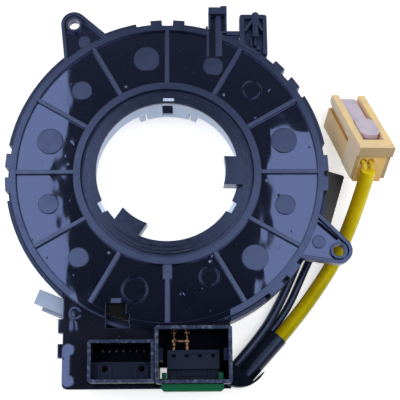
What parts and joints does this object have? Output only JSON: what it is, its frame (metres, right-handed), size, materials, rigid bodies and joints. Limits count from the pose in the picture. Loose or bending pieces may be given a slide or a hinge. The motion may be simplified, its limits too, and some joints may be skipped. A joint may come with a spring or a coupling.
{
  "type": "steering clock spring",
  "caption": "Flat ring-shaped steering clock spring: a turning hub in a ribbed housing with fixing ears, a connector block below and short leads to plugs.",
  "frame": {"origin": "on the bore's axis, level with the rear cover's rims", "axes": "+Z along the bore's axis to the rear (towards the steering column), +Y from the bore away from the connector block, +X completes a right-handed set"},
  "size_m": [0.1282, 0.13, 0.0316],
  "materials": {
    "cover_black": "semi-gloss",
    "case_black": "fine grain",
    "socket_black": "fine grain",
    "ring_black": "semi-gloss",
    "rotor_grey": "satin",
    "film_clear": "clear film",
    "flat_cable": "laminated film",
    "copper": "plated",
    "green": "satin",
    "guide_black": "matte",
    "tape_black": "cloth tape",
    "tube_black": "semi-gloss",
    "sheath_yellow": "satin",
    "wire_yellow": "satin",
    "shell_yellow": "satin",
    "body_yellow": "satin",
    "lock_white": "satin",
    "tab_white": "translucent"
  },
  "bodies": {
    "housing": {"rear_cover": "cover_black", "outer_case": "case_black", "left_socket": "socket_black", "right_socket": "socket_black", "left_terminals": "copper", "right_insert": "socket_black", "shorting_clip": "copper", "green_retainer": "green", "slip_film": "film_clear", "flat_cable": "flat_cable", "terminal_block": "socket_black", "cable_guide": "guide_black", "tape_wrap": "tape_black", "yellow_sheath": "sheath_yellow", "black_tube_a": "tube_black", "black_tube_b": "tube_black", "black_plug": "socket_black", "plug_body": "body_yellow", "plug_shell": "shell_yellow", "plug_wires": "wire_yellow", "white_tab": "tab_white"},
    "rotor_unit": {"rotor": "rotor_grey", "retaining_ring": "ring_black", "wheel_socket_top": "socket_black", "wheel_socket_low": "socket_black", "wheel_terminals_top": "copper", "wheel_terminals_low": "copper", "cable_anchor": "socket_black"},
    "lock": {"plug_lock": "lock_white"}
  },
  "joints": [
    {"name": "rotor_spin", "type": "hinge", "parent": "housing", "child": "rotor_unit", "pos_m": [0, 0, 0], "axis": [0, 0, 1], "range_deg": [-900, 900]},
    {"name": "lock_slide", "type": "slide", "parent": "housing", "child": "lock", "axis": [0.1865, -0.783, 0.5934], "range_m": [0, 0.002]}
  ]
}
